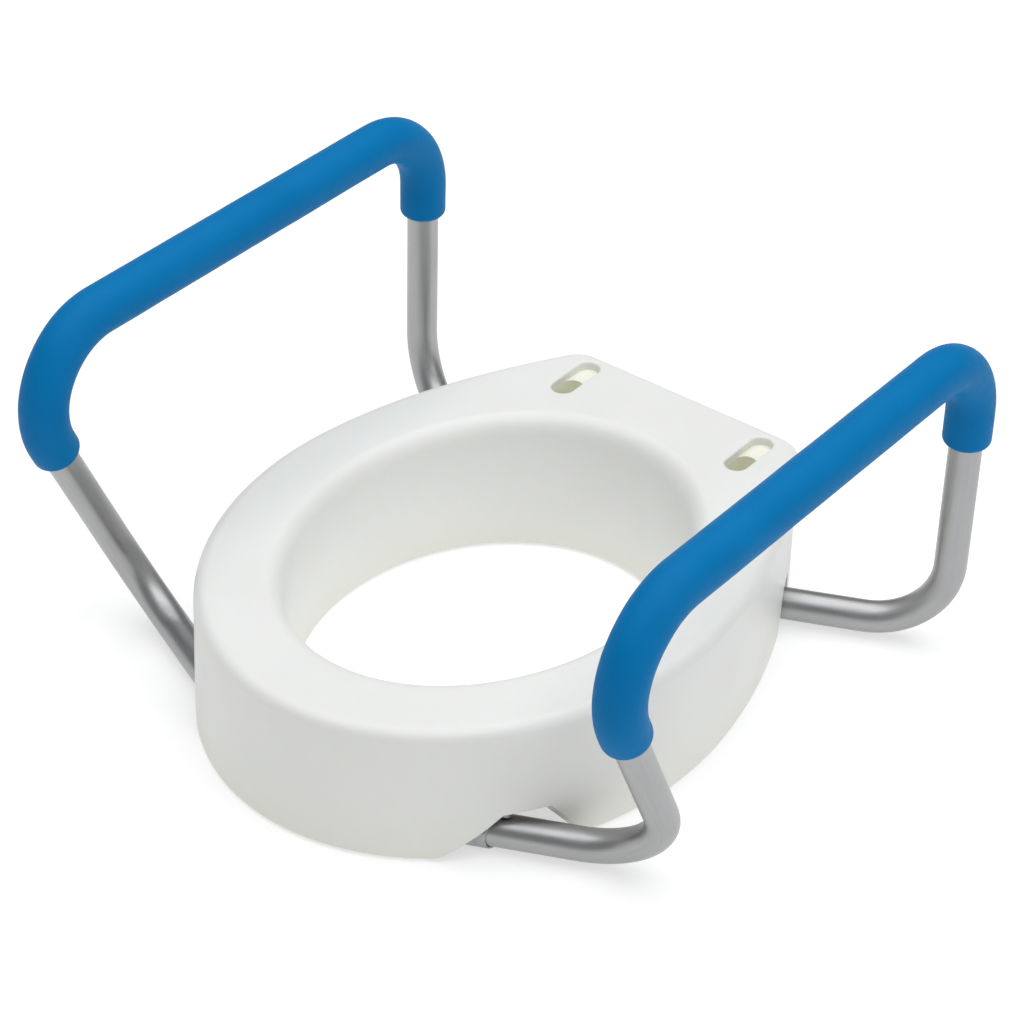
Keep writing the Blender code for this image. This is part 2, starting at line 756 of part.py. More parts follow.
def main():
    sockets = [Socket(*entry) for entry in SOCKETS]
    feet = foot_places()
    make_seat_shell(sockets, feet)
    for name, (x, y) in zip(("front_right", "front_left", "side_right", "side_left"), feet):
        make_foot(f"{name}_foot", x, y)
    for socket in sockets:
        make_socket(socket)
        for number, (along, across) in enumerate(socket.screws, start=1):
            seat = socket.point(along, across, PLATE_BOTTOM - CLEARANCE)
            make_screw(f"{socket.name}_screw_{number}", seat)
        make_end_plug(socket)
        make_clamp_nut(socket)
        make_clamp_screw(socket)
        make_clamp_knob(socket)
    make_arm("right", 1, sockets)
    make_arm("left", -1, sockets)


main()
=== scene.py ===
"""Looks for the raised toilet seat: fine meshes, materials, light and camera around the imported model.

Units are metres. +Z is up, -Y is the front of the seat, +X is its right side.
"""

import json
import math

import bmesh
import bpy
from mathutils import Matrix, Vector, noise

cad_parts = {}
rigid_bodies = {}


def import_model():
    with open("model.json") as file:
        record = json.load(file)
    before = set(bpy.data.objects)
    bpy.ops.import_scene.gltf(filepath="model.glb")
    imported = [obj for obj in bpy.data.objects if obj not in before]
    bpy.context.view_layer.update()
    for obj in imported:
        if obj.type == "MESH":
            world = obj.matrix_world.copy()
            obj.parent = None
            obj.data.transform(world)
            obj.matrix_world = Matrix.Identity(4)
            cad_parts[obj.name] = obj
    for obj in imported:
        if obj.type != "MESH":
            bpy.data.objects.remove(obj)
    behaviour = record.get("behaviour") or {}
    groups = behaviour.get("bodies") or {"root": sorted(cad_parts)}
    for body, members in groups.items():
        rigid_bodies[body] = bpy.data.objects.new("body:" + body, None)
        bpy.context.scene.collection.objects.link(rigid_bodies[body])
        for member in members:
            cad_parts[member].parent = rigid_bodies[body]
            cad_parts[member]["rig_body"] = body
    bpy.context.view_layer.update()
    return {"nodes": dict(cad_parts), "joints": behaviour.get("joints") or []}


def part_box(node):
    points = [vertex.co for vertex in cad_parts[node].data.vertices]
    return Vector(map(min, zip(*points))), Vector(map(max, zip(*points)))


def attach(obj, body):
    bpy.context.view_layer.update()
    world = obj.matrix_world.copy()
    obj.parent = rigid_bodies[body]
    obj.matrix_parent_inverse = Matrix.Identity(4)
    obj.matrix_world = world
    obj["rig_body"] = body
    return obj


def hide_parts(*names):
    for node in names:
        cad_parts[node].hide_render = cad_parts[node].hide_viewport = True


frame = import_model()

# Seat shell, from its CAD node's box
SEAT_LOW, SEAT_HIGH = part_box("seat_shell")
SEAT_BASE = 0.0025
SEAT_TOP = SEAT_HIGH.z
SEAT_HALF_WIDTH = SEAT_HIGH.x
SEAT_WIDEST_Y = -0.011
SEAT_REAR_TAPER = 0.449
SEAT_TAPER_LENGTH = 0.230
SEAT_TAPER_POWER = 1.83
REAR_CORNER_RADIUS = 0.024
WALL = 0.0035
WALL_DRAFT = 0.001
OUTER_EDGE_RADIUS = 0.009
RIM_RADIUS = 0.0008
# Painted shade: below this height the seat turns darker and cream over the given depth
PAINTED_SHADE_BELOW = SEAT_BASE + 0.045
PAINTED_SHADE_DEPTH = 0.05

# Opening: half width and half length at three heights
HOLE_CENTRE = Vector((0, -0.0063))
HOLE_AT_BASE = (0.1174, 0.1415)
HOLE_AT_SHOULDER = (0.1185, 0.1550)
HOLE_AT_TOP = (0.1310, 0.1690)
SHOULDER_DROP = 0.016

# Bolt slots in the rear deck
SLOT_X = 0.0734
SLOT_Y = 0.1867
SLOT_LENGTH = 0.0465
SLOT_WIDTH = 0.016
SLOT_LIP = 0.0016
SLOT_LEDGE_DEPTH = 0.006
SLOT_WELL_DEPTH = 0.020
SLOT_WELL_WALL = 0.002
SLOT_DEEP_SHARE = 0.6
BOLT_SLOT_WIDTH = 0.009
BOLT_SLOT_SHORTER = 0.008

# Under the seat
RIB_ANGLES = [-90, -32, -11, 11, 32, 90, 148, 169, 191, 212]
RIB_THICKNESS = 0.0025
RIB_BASE_Z = 0.0165
BOSS_RADIUS = 0.006
FOOT_BOSS_RADIUS = 0.011
FOOT_BOSS_HEIGHT = 0.012
CLEARANCE = 0.0003

# How far a cutter runs past the face that it cuts
PAST_END = 0.002

# Arms
TUBE_RADIUS = 0.0111
TUBE_WALL = 0.00125
ARM_HALF_SPAN = 0.226
FRONT_TOE_IN = 0.002
BEND_RADIUS = 0.054
RAIL_Z = 0.2452
LOWER_TUBE_Z = SEAT_BASE + TUBE_RADIUS
REAR_LEG_TOP_Y = 0.2029
REAR_LEG_FOOT_Y = 0.2064
FRONT_LEG_TOP_Y = -0.2153
FRONT_LEG_FOOT_Y = -0.1004
GRIP_RADIUS = 0.0162
GRIP_BORE = 0.0115
GRIP_SHOULDER = 0.0042
REAR_GRIP_END_Z = 0.168
FRONT_GRIP_END_Z = 0.158

# Sockets and fasteners
MOUTH_X = 0.119
SOCKET_RADIUS = 0.0127
SOCKET_BORE = 0.0114
SOCKET_LENGTH = 0.063
ARM_INSERTION = 0.058
PLATE_THICKNESS = 0.0024
PLATE_BOTTOM = LOWER_TUBE_Z + SOCKET_RADIUS - 0.0005
PLATE_TOP = PLATE_BOTTOM + PLATE_THICKNESS
PLATE_CORNER = 0.003
NOTCH_HEIGHT = 0.0305
NOTCH_BASE_HALF_WIDTH = 0.0243
NOTCH_TOP_HALF_WIDTH = 0.0085
SCREW_RADIUS = 0.0018
SCREW_HEAD_RADIUS = 0.004
SCREW_HEAD_HEIGHT = 0.0026
SCREW_LENGTH = 0.016
CLAMP_INSET = 0.032
CLAMP_SCREW_RADIUS = 0.003
CLAMP_SCREW_TIP = TUBE_RADIUS + CLEARANCE
CLAMP_SCREW_END = 0.0235
CLAMP_NUT_RADIUS = 0.0056
CLAMP_NUT_START = SOCKET_RADIUS + CLEARANCE
CLAMP_NUT_END = 0.0175
KNOB_START = 0.0190
KNOB_END = 0.0280
KNOB_RADIUS = 0.0095
KNOB_LOBES = 6
KNOB_LOBE_DEPTH = 0.0011
FOOT_RADIUS = 0.009
FOOT_STEM_RADIUS = 0.0027

# Along the socket from its mouth, and across it towards the rear of the seat
FRONT_SCREWS = [(-0.073, 0.0), (-0.012, 0.018)]
REAR_SCREWS = [(-0.020, 0.018), (-0.020, -0.018)]
FRONT_PLATE = [
    (-0.083, -0.009), (-0.020, -0.009), (-0.020, -0.002), (0.008, -0.002),
    (0.008, 0.026), (-0.045, 0.026), (-0.045, 0.009), (-0.083, 0.009),
]
REAR_PLATE = [(-0.038, -0.026), (-0.002, -0.026), (-0.002, 0.026), (-0.038, 0.026)]

TURN = 2 * math.pi

# A turned profile ends in a small flat at this radius, because its rings can't close to a point
PIN_RADIUS = 0.0004
FINE_PIN_RADIUS = 0.0003

# Camera, in degrees and metres, and light
CAMERA_AZIMUTH = 36.06
CAMERA_ELEVATION = 35.58
CAMERA_ROLL = 2.2
CAMERA_DISTANCE = 2.1123
CAMERA_AIM = Vector((0.01208, -0.00046, 0.12582))
SENSOR_WIDTH_MM = 36.0
LENS_MM = 114.64
LIGHT_AIM = Vector((0, 0, 0.1))
WORLD_STRENGTH = 0.30
FLOOR_GLOW = 0.55
FLOOR_REACH = 6.0


# ---------------------------------------------------------------- meshes

def finished_mesh(name, work):
    """A mesh from bmesh data, with its faces turned outwards."""
    bmesh.ops.recalc_face_normals(work, faces=work.faces)
    mesh = bpy.data.meshes.new(name)
    work.to_mesh(mesh)
    work.free()
    return mesh


def loft(name, rings, closed=False, along=None):
    """A skin through closed rings. A closed loft joins its last ring to its first, and an open one has caps.

    The texture map's U goes once round a ring, and its V is each ring's distance along.
    """
    count = len(rings[0])
    along = along or [0.0] * len(rings)
    work = bmesh.new()
    layer = work.loops.layers.uv.new("UVMap")
    grid = [[work.verts.new(point) for point in ring] for ring in rings]
    for row in range(len(rings) if closed else len(rings) - 1):
        above = (row + 1) % len(rings)
        for column in range(count):
            beside = (column + 1) % count
            face = work.faces.new((
                grid[row][column], grid[row][beside], grid[above][beside], grid[above][column],
            ))
            places = ((column, row), (column + 1, row), (column + 1, above), (column, above))
            for corner, (around, ring) in zip(face.loops, places):
                corner[layer].uv = (around / count, along[ring])
    if not closed:
        work.faces.new(grid[0])
        work.faces.new(grid[-1])
    return finished_mesh(name, work)


def new_object(name, mesh):
    obj = bpy.data.objects.new(name, mesh)
    bpy.context.scene.collection.objects.link(obj)
    return obj


def combine(obj, operation, meshes):
    """Adds or cuts each mesh, and keeps the result as the object's own mesh."""
    tools = [new_object("tool", mesh) for mesh in meshes]
    for tool in tools:
        step = obj.modifiers.new(operation.lower(), "BOOLEAN")
        step.operation = operation
        step.solver = "EXACT"
        step.object = tool
    bpy.context.view_layer.update()
    depsgraph = bpy.context.evaluated_depsgraph_get()
    obj.data = bpy.data.meshes.new_from_object(obj.evaluated_get(depsgraph))
    obj.modifiers.clear()
    for tool in tools:
        bpy.data.objects.remove(tool)


def joined(name, meshes):
    """Several separate bodies as one mesh."""
    work = bmesh.new()
    for mesh in meshes:
        work.from_mesh(mesh)
    return finished_mesh(name, work)


def circle(radius, sides):
    return [
        Vector((radius * math.cos(TURN * i / sides), radius * math.sin(TURN * i / sides), 0))
        for i in range(sides)
    ]


def round_ring(radius, height, sides):
    return [point + Vector((0, 0, height)) for point in circle(radius, sides)]


def turned(name, profile, sides=48):
    """A solid of revolution about local Z from (radius, height) points, flat at both ends."""
    return loft(name, [round_ring(radius, height, sides) for radius, height in profile])


def arc(centre, radius, start, end, steps):
    """Points of an arc in a profile, as (x, y) pairs, with its angles in degrees."""
    angles = [math.radians(start + (end - start) * step / steps) for step in range(steps + 1)]
    return [(centre[0] + radius * math.cos(a), centre[1] + radius * math.sin(a)) for a in angles]


def cylinder(low, high, radius, sides=32):
    axis = high - low
    turn = axis.to_track_quat("Z", "Y").to_matrix().to_4x4()
    mesh = turned("cylinder", [(radius, 0), (radius, axis.length)], sides)
    mesh.transform(Matrix.Translation(low) @ turn)
    return mesh


def prism(outline, low, high):
    """A flat outline carried from one height to another."""
    return loft("prism", [[(x, y, z) for x, y in outline] for z in (low, high)])


def stadium(length, width, steps=16):
    """A slot outline along Y with round ends."""
    radius = width / 2
    reach = length / 2 - radius
    return arc((0, reach), radius, 0, 180, steps) + arc((0, -reach), radius, 180, 360, steps)


def rounded(corners, radius, steps=5):
    """A flat outline with its corners rounded."""
    points = []
    for index, corner in enumerate(corners):
        here = Vector(corner)
        before = Vector(corners[index - 1])
        after = Vector(corners[(index + 1) % len(corners)])
        towards, away = (before - here).normalized(), (after - here).normalized()
        half = towards.angle(away) / 2
        centre = here + (towards + away).normalized() * radius / math.sin(half)
        start = here + towards * radius / math.tan(half) - centre
        end = here + away * radius / math.tan(half) - centre
        for step in range(steps + 1):
            points.append(centre + start.normalized().slerp(end.normalized(), step / steps) * radius)
    return [(point.x, point.y) for point in points]


# ---------------------------------------------------------------- routes for tubes

class Route:
    """A line with rounded corners that gives its point and direction at any distance along it."""

    def __init__(self, corners, radius):
        self.runs = []
        self.length = 0.0
        start = corners[0]
        for before, corner, after in zip(corners, corners[1:], corners[2:]):
            towards, away = (before - corner).normalized(), (after - corner).normalized()
            half = towards.angle(away) / 2
            centre = corner + (towards + away).normalized() * radius / math.sin(half)
            bend_start = corner + towards * radius / math.tan(half)
            self.add_line(start, bend_start)
            self.add_bend(centre, bend_start, -towards, radius, math.pi - 2 * half)
            start = corner + away * radius / math.tan(half)
        self.add_line(start, corners[-1])

    def add_line(self, start, end):
        length = (end - start).length
        direction = (end - start) / length
        self.runs.append((length, lambda s: (start + direction * s, direction)))
        self.length += length

    def add_bend(self, centre, start, direction, radius, angle):
        out = (start - centre) / radius

        def at(s):
            turn = s / radius
            point = centre + radius * (out * math.cos(turn) + direction * math.sin(turn))
            return point, direction * math.cos(turn) - out * math.sin(turn)

        self.runs.append((radius * angle, at))
        self.length += radius * angle

    def at(self, distance):
        for length, at in self.runs[:-1]:
            if distance <= length:
                return at(distance)
            distance -= length
        return self.runs[-1][1](distance)


def sweep_rings(route, stations, sides, ripple=None):
    """Round rings at (distance, radius) stations. The frame is carried along without twist."""
    rings = []
    side = None
    for distance, radius in stations:
        point, direction = route.at(distance)
        if side is None:
            side = direction.orthogonal()
        side = (side - direction * side.dot(direction)).normalized()
        up = direction.cross(side)
        ring = []
        for step in range(sides):
            angle = TURN * step / sides
            out = side * math.cos(angle) + up * math.sin(angle)
            place = point + out * radius
            if ripple:
                place += out * ripple(place)
            ring.append(place)
        rings.append(ring)
    return rings


def spaced(start, end, spacing):
    count = max(1, round((end - start) / spacing))
    return [start + (end - start) * step / count for step in range(count + 1)]


def sleeve(name, route, outside, bore_radius, sides, ripple=None):
    """A hollow tube: its outside at (distance, radius) stations, and a plain bore of one radius."""
    bore = [(distance, bore_radius) for distance, _ in outside]
    rings = sweep_rings(route, outside, sides, ripple) + sweep_rings(route, bore, sides)[::-1]
    return loft(name, rings, closed=True, along=[distance for distance, _ in outside + bore[::-1]])


# ---------------------------------------------------------------- materials

class Finish:
    """A Principled material with short ways to add the texture nodes that drive it."""

    def __init__(self, name, **values):
        self.material = bpy.data.materials.new(name)
        self.material.use_nodes = True
        self.tree = self.material.node_tree
        self.shader = self.tree.nodes["Principled BSDF"]
        for socket, value in values.items():
            self.shader.inputs[socket.replace("_", " ")].default_value = value
        self.place = self.tree.nodes.new("ShaderNodeTexCoord").outputs["Object"]

    def feed(self, socket, value):
        """Links a node's output to a socket, or sets the socket to a plain value."""
        if isinstance(value, bpy.types.NodeSocket):
            self.tree.links.new(value, socket)
        else:
            socket.default_value = value

    def node(self, kind, **inputs):
        made = self.tree.nodes.new(kind)
        for key, value in inputs.items():
            self.feed(made.inputs[key.replace("_", " ")], value)
        return made

    def noise(self, scale, detail=3.0, vector=None):
        place = vector or self.place
        return self.node("ShaderNodeTexNoise", Vector=place, Scale=scale, Detail=detail).outputs["Fac"]

    def cells(self, scale):
        made = self.node("ShaderNodeTexVoronoi", Vector=self.place, Scale=scale)
        return made.outputs["Distance"]

    def ranged(self, value, low, high, source=(0.3, 0.7)):
        made = self.node(
            "ShaderNodeMapRange", Value=value, From_Min=source[0], From_Max=source[1],
            To_Min=low, To_Max=high,
        )
        return made.outputs["Result"]

    def maths(self, operation, first, second):
        made = self.node("ShaderNodeMath")
        made.operation = operation
        self.feed(made.inputs[0], first)
        self.feed(made.inputs[1], second)
        return made.outputs["Value"]

    def mixed(self, factor, first, second):
        """Two colours mixed. A Mix node repeats its socket names for each type, so places are used."""
        made = self.node("ShaderNodeMix")
        made.data_type = "RGBA"
        factor_place, first_place, second_place, colour_output = 0, 6, 7, 2
        self.feed(made.inputs[factor_place], factor)
        self.feed(made.inputs[first_place], first)
        self.feed(made.inputs[second_place], second)
        return made.outputs[colour_output]

    def drive(self, socket, value):
        self.tree.links.new(value, self.shader.inputs[socket])

    def bump(self, height, strength, distance):
        made = self.node("ShaderNodeBump", Height=height, Strength=strength, Distance=distance)
        self.drive("Normal", made.outputs["Normal"])

    def along_tube(self, stretch):
        """Coordinates that run without a seam round a tube, and are drawn out along it."""
        layer = self.tree.nodes.new("ShaderNodeTexCoord").outputs["UV"]
        split = self.node("ShaderNodeSeparateXYZ", Vector=layer)
        angle = self.maths("MULTIPLY", split.outputs["X"], TURN)
        return self.node(
            "ShaderNodeCombineXYZ",
            X=self.maths("COSINE", angle, 0.0),
            Y=self.maths("SINE", angle, 0.0),
            Z=self.maths("MULTIPLY", split.outputs["Y"], stretch),
        ).outputs["Vector"]


def rgb(red, green, blue):
    return (red, green, blue, 1.0)


WHITE = rgb(0.805, 0.812, 0.788)
WHITE_SHADE = rgb(0.780, 0.786, 0.758)
# Cream for the slots' insides: painted shade for the light scattered in the recesses
SLOT_SHADE_CREAM = rgb(0.86, 0.86, 0.70)


def moulded_plastic(name, shade_colour, top, depth):
    """Satin moulded plastic that turns to a deeper colour from one height down; the deeper colour is painted
    shade, darker and cream where less light reaches.
    """
    finish = Finish(
        name, Roughness=0.38, IOR=1.48, Specular_IOR_Level=0.45,
        Subsurface_Weight=0.12, Subsurface_Scale=0.006,
    )
    height = finish.node("ShaderNodeSeparateXYZ", Vector=finish.place).outputs["Z"]
    # Painted shade: none at the given height, full shade colour at the given depth below it
    painted_shade_mask = finish.ranged(height, 1.0, 0.0, source=(top - depth, top))
    mottled = finish.mixed(finish.ranged(finish.noise(11.0, 4.0), 0.0, 1.0), WHITE, WHITE_SHADE)
    finish.drive("Base Color", finish.mixed(painted_shade_mask, mottled, shade_colour))
    smears = finish.ranged(finish.noise(38.0, 5.0), -0.05, 0.05)
    grain = finish.ranged(finish.noise(900.0, 2.0), 0.35, 0.43)
    finish.drive("Roughness", finish.maths("ADD", smears, grain))
    waves = finish.maths("MULTIPLY", finish.noise(45.0, 2.0), 0.6)
    peel = finish.maths("MULTIPLY", finish.noise(1300.0, 2.0), 0.4)
    finish.bump(finish.maths("ADD", waves, peel), 0.10, 0.0002)
    return finish.material


def foam():
    """Closed-cell foam with a smooth skin that shows its fine cells."""
    finish = Finish("blue_foam", IOR=1.45, Specular_IOR_Level=0.07)
    patches = finish.ranged(finish.noise(26.0, 4.0), 0.0, 1.0)
    speckle = finish.ranged(finish.noise(1500.0, 2.0), 0.0, 1.0)
    tone = finish.maths(
        "ADD", finish.maths("MULTIPLY", patches, 0.6), finish.maths("MULTIPLY", speckle, 0.4)
    )
    finish.drive("Base Color", finish.mixed(tone, rgb(0.0, 0.150, 0.385), rgb(0.002, 0.172, 0.430)))
    finish.drive("Roughness", finish.ranged(finish.noise(160.0, 4.0), 0.44, 0.56))
    cells = finish.maths("MULTIPLY", finish.cells(1250.0), 0.7)
    dimples = finish.maths("MULTIPLY", finish.noise(260.0, 3.0), 0.6)
    finish.bump(finish.maths("ADD", cells, dimples), 0.22, 0.0003)
    return finish.material


def drawn_aluminium():
    """Satin tube, with faint draw lines along its length."""
    finish = Finish("aluminium", Metallic=1.0, IOR=1.44)
    lines = finish.noise(26.0, 5.0, finish.along_tube(0.9))
    fine_lines = finish.noise(90.0, 3.0, finish.along_tube(0.5))
    tone = finish.ranged(finish.maths("MULTIPLY", finish.maths("ADD", lines, fine_lines), 0.5), 0.0, 1.0)
    finish.drive("Base Color", finish.mixed(tone, rgb(0.345, 0.347, 0.35), rgb(0.43, 0.43, 0.432)))
    smudge = finish.ranged(finish.noise(34.0, 4.0), -0.04, 0.05)
    finish.drive("Roughness", finish.maths("ADD", finish.ranged(fine_lines, 0.34, 0.44), smudge))
    finish.bump(fine_lines, 0.06, 0.0001)
    return finish.material


def plated_steel(name, dark, light, roughness):
    """Zinc-plated steel with a fine crystalline mottling."""
    finish = Finish(name, Metallic=1.0)
    spangle = finish.ranged(finish.cells(420.0), 0.0, 1.0, source=(0.0, 0.9))
    clouds = finish.ranged(finish.noise(120.0, 4.0), 0.0, 1.0)
    tone = finish.maths("MULTIPLY", finish.maths("ADD", spangle, clouds), 0.5)
    finish.drive("Base Color", finish.mixed(tone, dark, light))
    finish.drive("Roughness", finish.ranged(finish.noise(300.0, 4.0), roughness - 0.06, roughness + 0.08))
    finish.bump(finish.noise(1100.0, 2.0), 0.08, 0.0001)
    return finish.material


def matt_polymer(name, dark, light, roughness, grain, depth):
    """Rubber or nylon with an even moulded grain."""
    finish = Finish(name, Specular_IOR_Level=0.35)
    finish.drive("Base Color", finish.mixed(finish.ranged(finish.noise(90.0, 4.0), 0.0, 1.0), dark, light))
    finish.drive("Roughness", finish.ranged(finish.noise(400.0, 3.0), roughness - 0.05, roughness + 0.06))
    finish.bump(finish.noise(grain, 2.0), 0.3, depth)
    return finish.material


# A darker, cream white painted on the seat's low parts as shade
PAINTED_SHADE_WHITE = rgb(0.785, 0.79, 0.715)
# The slots' painted shade starts just under the top and is full at the given depth below
SLOT_SHADE_TOP = SEAT_TOP - 0.0006
SLOT_SHADE_DEPTH = 0.010

# The seat's plastic carries painted shade on its low parts
SEAT_PLASTIC = moulded_plastic("white_plastic", PAINTED_SHADE_WHITE, PAINTED_SHADE_BELOW, PAINTED_SHADE_DEPTH)
SLOT_SHADED_PLASTIC = moulded_plastic("white_plastic_in_slots", SLOT_SHADE_CREAM, SLOT_SHADE_TOP, SLOT_SHADE_DEPTH)
BLUE_FOAM = foam()
ALUMINIUM = drawn_aluminium()
SOCKET_STEEL = plated_steel("socket_steel", rgb(0.26, 0.265, 0.27), rgb(0.42, 0.42, 0.43), 0.38)
SCREW_STEEL = plated_steel("screw_steel", rgb(0.50, 0.50, 0.50), rgb(0.66, 0.66, 0.65), 0.28)
GREY_PLASTIC = matt_polymer(
    "grey_plastic", rgb(0.10, 0.10, 0.105), rgb(0.15, 0.15, 0.155), 0.48, 700.0, 0.0001
)
GREY_RUBBER = matt_polymer(
    "grey_rubber", rgb(0.075, 0.075, 0.075), rgb(0.12, 0.12, 0.118), 0.78, 900.0, 0.0002
)


def stand_in(obj, node, slot, *materials):
    """The piece takes a CAD node's place: it rides on that node's body and takes the given materials."""
    obj.data.materials.clear()
    for material in materials:
        obj.data.materials.append(material)
    obj.data.shade_smooth()
    obj.data.set_sharp_from_angle(angle=math.radians(35))
    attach(obj, frame["nodes"][node]["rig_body"])
    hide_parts(node)


# ---------------------------------------------------------------- socket positions

class Socket:
    """Where one socket lies: its mouth, its axis outwards, and the level direction across it."""

    def __init__(self, name, side, end):
        self.name = name
        self.side = side
        self.end = end
        arm = "right" if side > 0 else "left"
        slide = next(j for j in frame["joints"] if j["name"] == f"{arm}_arm_slide")
        self.along = Vector(slide["axis"]).normalized()
        self.across = Vector((-self.along.y, self.along.x, 0)) * side
        corner = front_foot(side) if end > 0 else rear_foot(side)
        self.mouth = corner + self.along * (side * MOUTH_X - corner.x) / self.along.x
        self.screws = FRONT_SCREWS if end > 0 else REAR_SCREWS
        self.plate = FRONT_PLATE if end > 0 else REAR_PLATE
        self.clamp_direction = self.across * end

    def point(self, along, across=0.0, z=None):
        place = self.mouth + self.along * along + self.across * across
        if z is not None:
            place.z = z
        return place

    def frame(self, along=0.0, z=LOWER_TUBE_Z):
        """A right-handed frame: X along the socket, Z up."""
        left = Vector((0, 0, 1)).cross(self.along)
        turn = Matrix((self.along, left, (0, 0, 1))).transposed().to_4x4()
        return Matrix.Translation(self.point(along, 0, z)) @ turn


def clamp_frame(socket):
    """Local Z is the clamp screw's axis, outwards from the arm tube's axis."""
    turn = socket.clamp_direction.to_track_quat("Z", "Y").to_matrix().to_4x4()
    return Matrix.Translation(socket.point(-CLAMP_INSET)) @ turn


def rear_foot(side):
    return Vector((side * ARM_HALF_SPAN, REAR_LEG_FOOT_Y, LOWER_TUBE_Z))


def front_foot(side):
    return Vector((side * (ARM_HALF_SPAN - FRONT_TOE_IN), FRONT_LEG_FOOT_Y, LOWER_TUBE_Z))


def arm_corners(side):
    """The corners of the arm tube's centre line between its two lower ends, rear to front."""
    return [
        rear_foot(side),
        Vector((side * ARM_HALF_SPAN, REAR_LEG_TOP_Y, RAIL_Z)),
        Vector((side * ARM_HALF_SPAN, FRONT_LEG_TOP_Y, RAIL_Z)),
        front_foot(side),
    ]


SOCKETS = [
    Socket("front_right", 1, 1),
    Socket("front_left", -1, 1),
    Socket("rear_right", 1, -1),
    Socket("rear_left", -1, -1),
]
FEET = ["front_right", "front_left", "side_right", "side_left"]


def foot_place(name):
    low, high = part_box(f"{name}_foot")
    return (low.x + high.x) / 2, (low.y + high.y) / 2


# ---------------------------------------------------------------- seat shell

def side_x(y):
    """Half width of the seat behind its widest line."""
    run = (y - SEAT_WIDEST_Y) / SEAT_TAPER_LENGTH
    return SEAT_HALF_WIDTH * (1 - SEAT_REAR_TAPER * run ** SEAT_TAPER_POWER)


def half_outline():
    """The right half of the seat's outline, from the front middle to the rear middle."""
    front_steps, side_steps, corner_steps, edge_steps = 56, 40, 14, 14
    rear = SEAT_HIGH.y
    front_depth = SEAT_WIDEST_Y - SEAT_LOW.y
    slope = math.atan(SEAT_HALF_WIDTH * SEAT_REAR_TAPER * SEAT_TAPER_POWER / SEAT_TAPER_LENGTH)
    side_end = rear - REAR_CORNER_RADIUS * (1 - math.sin(slope))
    corner_x = side_x(side_end) - REAR_CORNER_RADIUS * math.cos(slope)
    points = []
    for step in range(front_steps):
        angle = math.pi / 2 * step / front_steps
        points.append((SEAT_HALF_WIDTH * math.sin(angle), SEAT_WIDEST_Y - front_depth * math.cos(angle)))
    for step in range(side_steps):
        y = SEAT_WIDEST_Y + (side_end - SEAT_WIDEST_Y) * step / side_steps
        points.append((side_x(y), y))
    points += arc(
        (corner_x, rear - REAR_CORNER_RADIUS), REAR_CORNER_RADIUS, math.degrees(slope), 90, corner_steps
    )
    for step in range(1, edge_steps + 1):
        points.append((corner_x * (1 - step / edge_steps), rear))
    return points


def seat_outline():
    """The whole outline, anticlockwise from the front middle, without the repeated middle points."""
    right = half_outline()
    left = [(-x, y) for x, y in reversed(right[1:-1])]
    return [Vector(point) for point in right + left]


def inward_normals(outline):
    normals = []
    for index, point in enumerate(outline):
        before = outline[index - 1]
        after = outline[(index + 1) % len(outline)]
        along = ((point - before).normalized() + (after - point).normalized()).normalized()
        normals.append(Vector((-along.y, along.x)))
    return normals


def on_ellipse(half_sizes, towards):
    """The point of an ellipse round the opening's centre that lies in the direction of a point."""
    ray = towards - HOLE_CENTRE
    stretch = math.hypot(ray.x / half_sizes[0], ray.y / half_sizes[1])
    return HOLE_CENTRE + ray / stretch


def rim(inset):
    """(inset, height) pairs round the bottom corner of one face of the wall, from its flat edge up."""
    inward = 1 if inset == 0 else -1
    steps = 3
    pairs = []
    for step in range(steps + 1):
        angle = math.pi / 2 * step / steps
        pairs.append((
            inset + inward * RIM_RADIUS * (1 - math.sin(angle)),
            SEAT_BASE + RIM_RADIUS * (1 - math.cos(angle)),
        ))
    return pairs


def skin_line(point, normal, inset):
    """One face of the wall, from the seat's outer base over the top to the opening's base."""
    wall_steps, edge_steps, deck_steps, shoulder_steps = 6, 10, 5, 14
    top_z = SEAT_TOP - inset
    edge = OUTER_EDGE_RADIUS - inset
    line = [(point + normal * depth, z) for depth, z in rim(inset)]
    foot_z = SEAT_BASE + RIM_RADIUS
    for step in range(1, wall_steps):
        share = step / wall_steps
        z = foot_z + (top_z - edge - foot_z) * share
        line.append((point + normal * (inset + WALL_DRAFT * share), z))
    for step in range(edge_steps + 1):
        angle = math.pi / 2 * step / edge_steps
        depth = inset + WALL_DRAFT + edge * (1 - math.cos(angle))
        line.append((point + normal * depth, top_z - edge * (1 - math.sin(angle))))
    lip = on_ellipse([size + inset for size in HOLE_AT_TOP], point)
    for step in range(1, deck_steps):
        line.append((line[-1][0].lerp(lip, 1 / (deck_steps + 1 - step)), top_z))
    for step in range(shoulder_steps + 1):
        angle = math.pi / 2 * step / shoulder_steps
        half_sizes = [
            low + inset + (high - low) * (1 - math.sin(angle))
            for low, high in zip(HOLE_AT_SHOULDER, HOLE_AT_TOP)
        ]
        z = top_z - (SHOULDER_DROP - inset) * (1 - math.cos(angle))
        line.append((on_ellipse(half_sizes, point), z))
    shoulder_z = SEAT_TOP - SHOULDER_DROP
    for step in range(1, wall_steps):
        share = step / wall_steps
        half_sizes = [
            high + inset + (low - high) * share for low, high in zip(HOLE_AT_BASE, HOLE_AT_SHOULDER)
        ]
        line.append((on_ellipse(half_sizes, point), shoulder_z + (foot_z - shoulder_z) * share))
    for depth, z in reversed(rim(inset)):
        line.append((on_ellipse([size + depth for size in HOLE_AT_BASE], point), z))
    return [(flat.x, flat.y, z) for flat, z in line]


def seat_skin():
    outline = seat_outline()
    normals = inward_normals(outline)
    rings = []
    for point, normal in zip(outline, normals):
        rings.append(skin_line(point, normal, 0.0) + skin_line(point, normal, WALL)[::-1])
    return loft("seat_shell_detailed", rings, closed=True)


